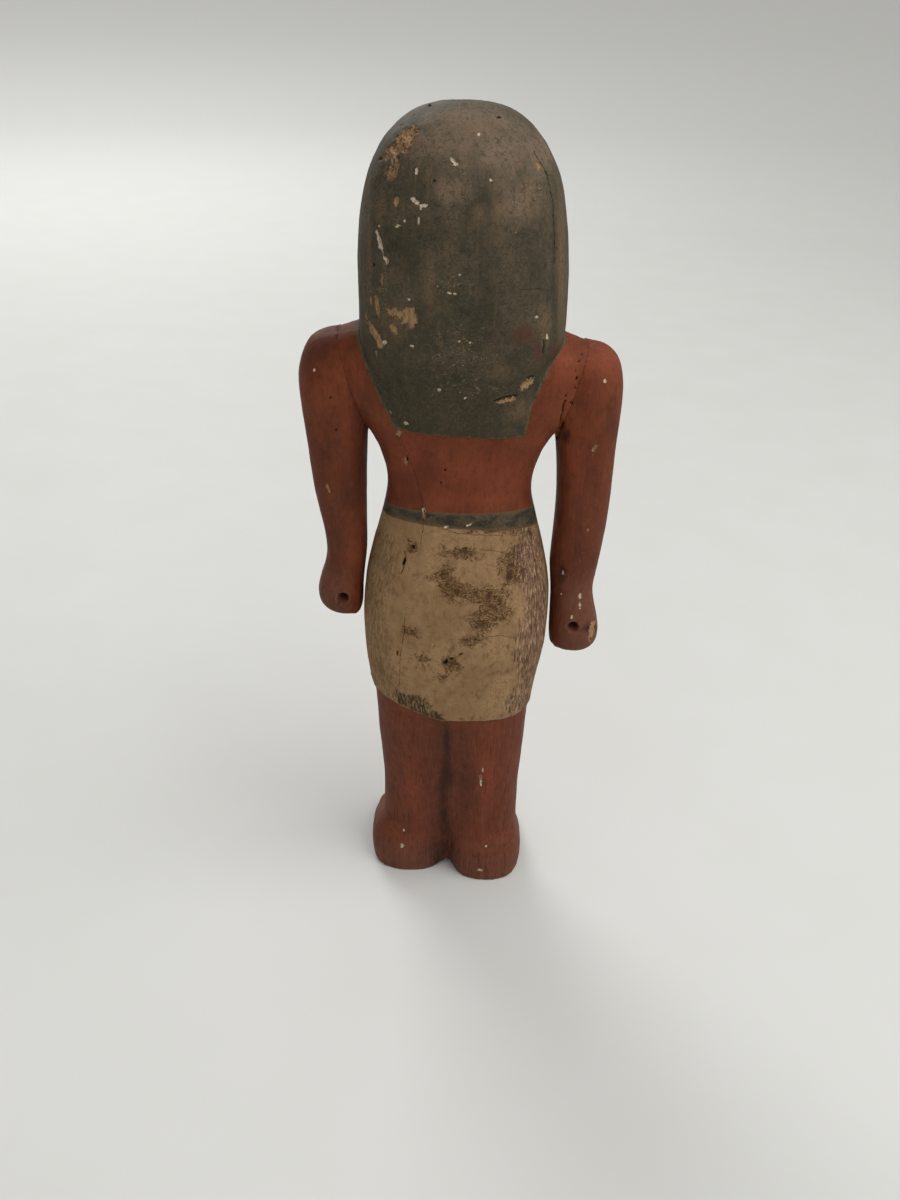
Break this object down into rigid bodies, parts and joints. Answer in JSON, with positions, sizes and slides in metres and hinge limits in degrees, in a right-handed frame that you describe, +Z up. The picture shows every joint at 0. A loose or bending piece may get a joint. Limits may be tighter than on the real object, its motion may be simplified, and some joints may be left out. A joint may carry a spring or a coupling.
{
  "type": "ushabti figurine",
  "caption": "Carved and painted wooden figurine of a standing man in a long wig and a kilt, with separately carved arms and pierced fists.",
  "frame": {"origin": "centre of the figure's outline on the surface it stands on", "axes": "+Z up, along the standing figure; the figure looks along -Y; its left hand is at +X"},
  "size_m": [0.1112, 0.0682, 0.3],
  "materials": {
    "body_paint": "worn matt paint over carved wood: red-brown skin, dark wig, cream kilt with a dark belt",
    "left_arm_paint": "worn matt red-brown paint over carved wood",
    "right_arm_paint": "worn matt red-brown paint over carved wood, rubbed at the wrist"
  },
  "bodies": {
    "root": {"figure_body": "body_paint", "left_arm": "left_arm_paint", "right_arm": "right_arm_paint"}
  },
  "joints": []
}
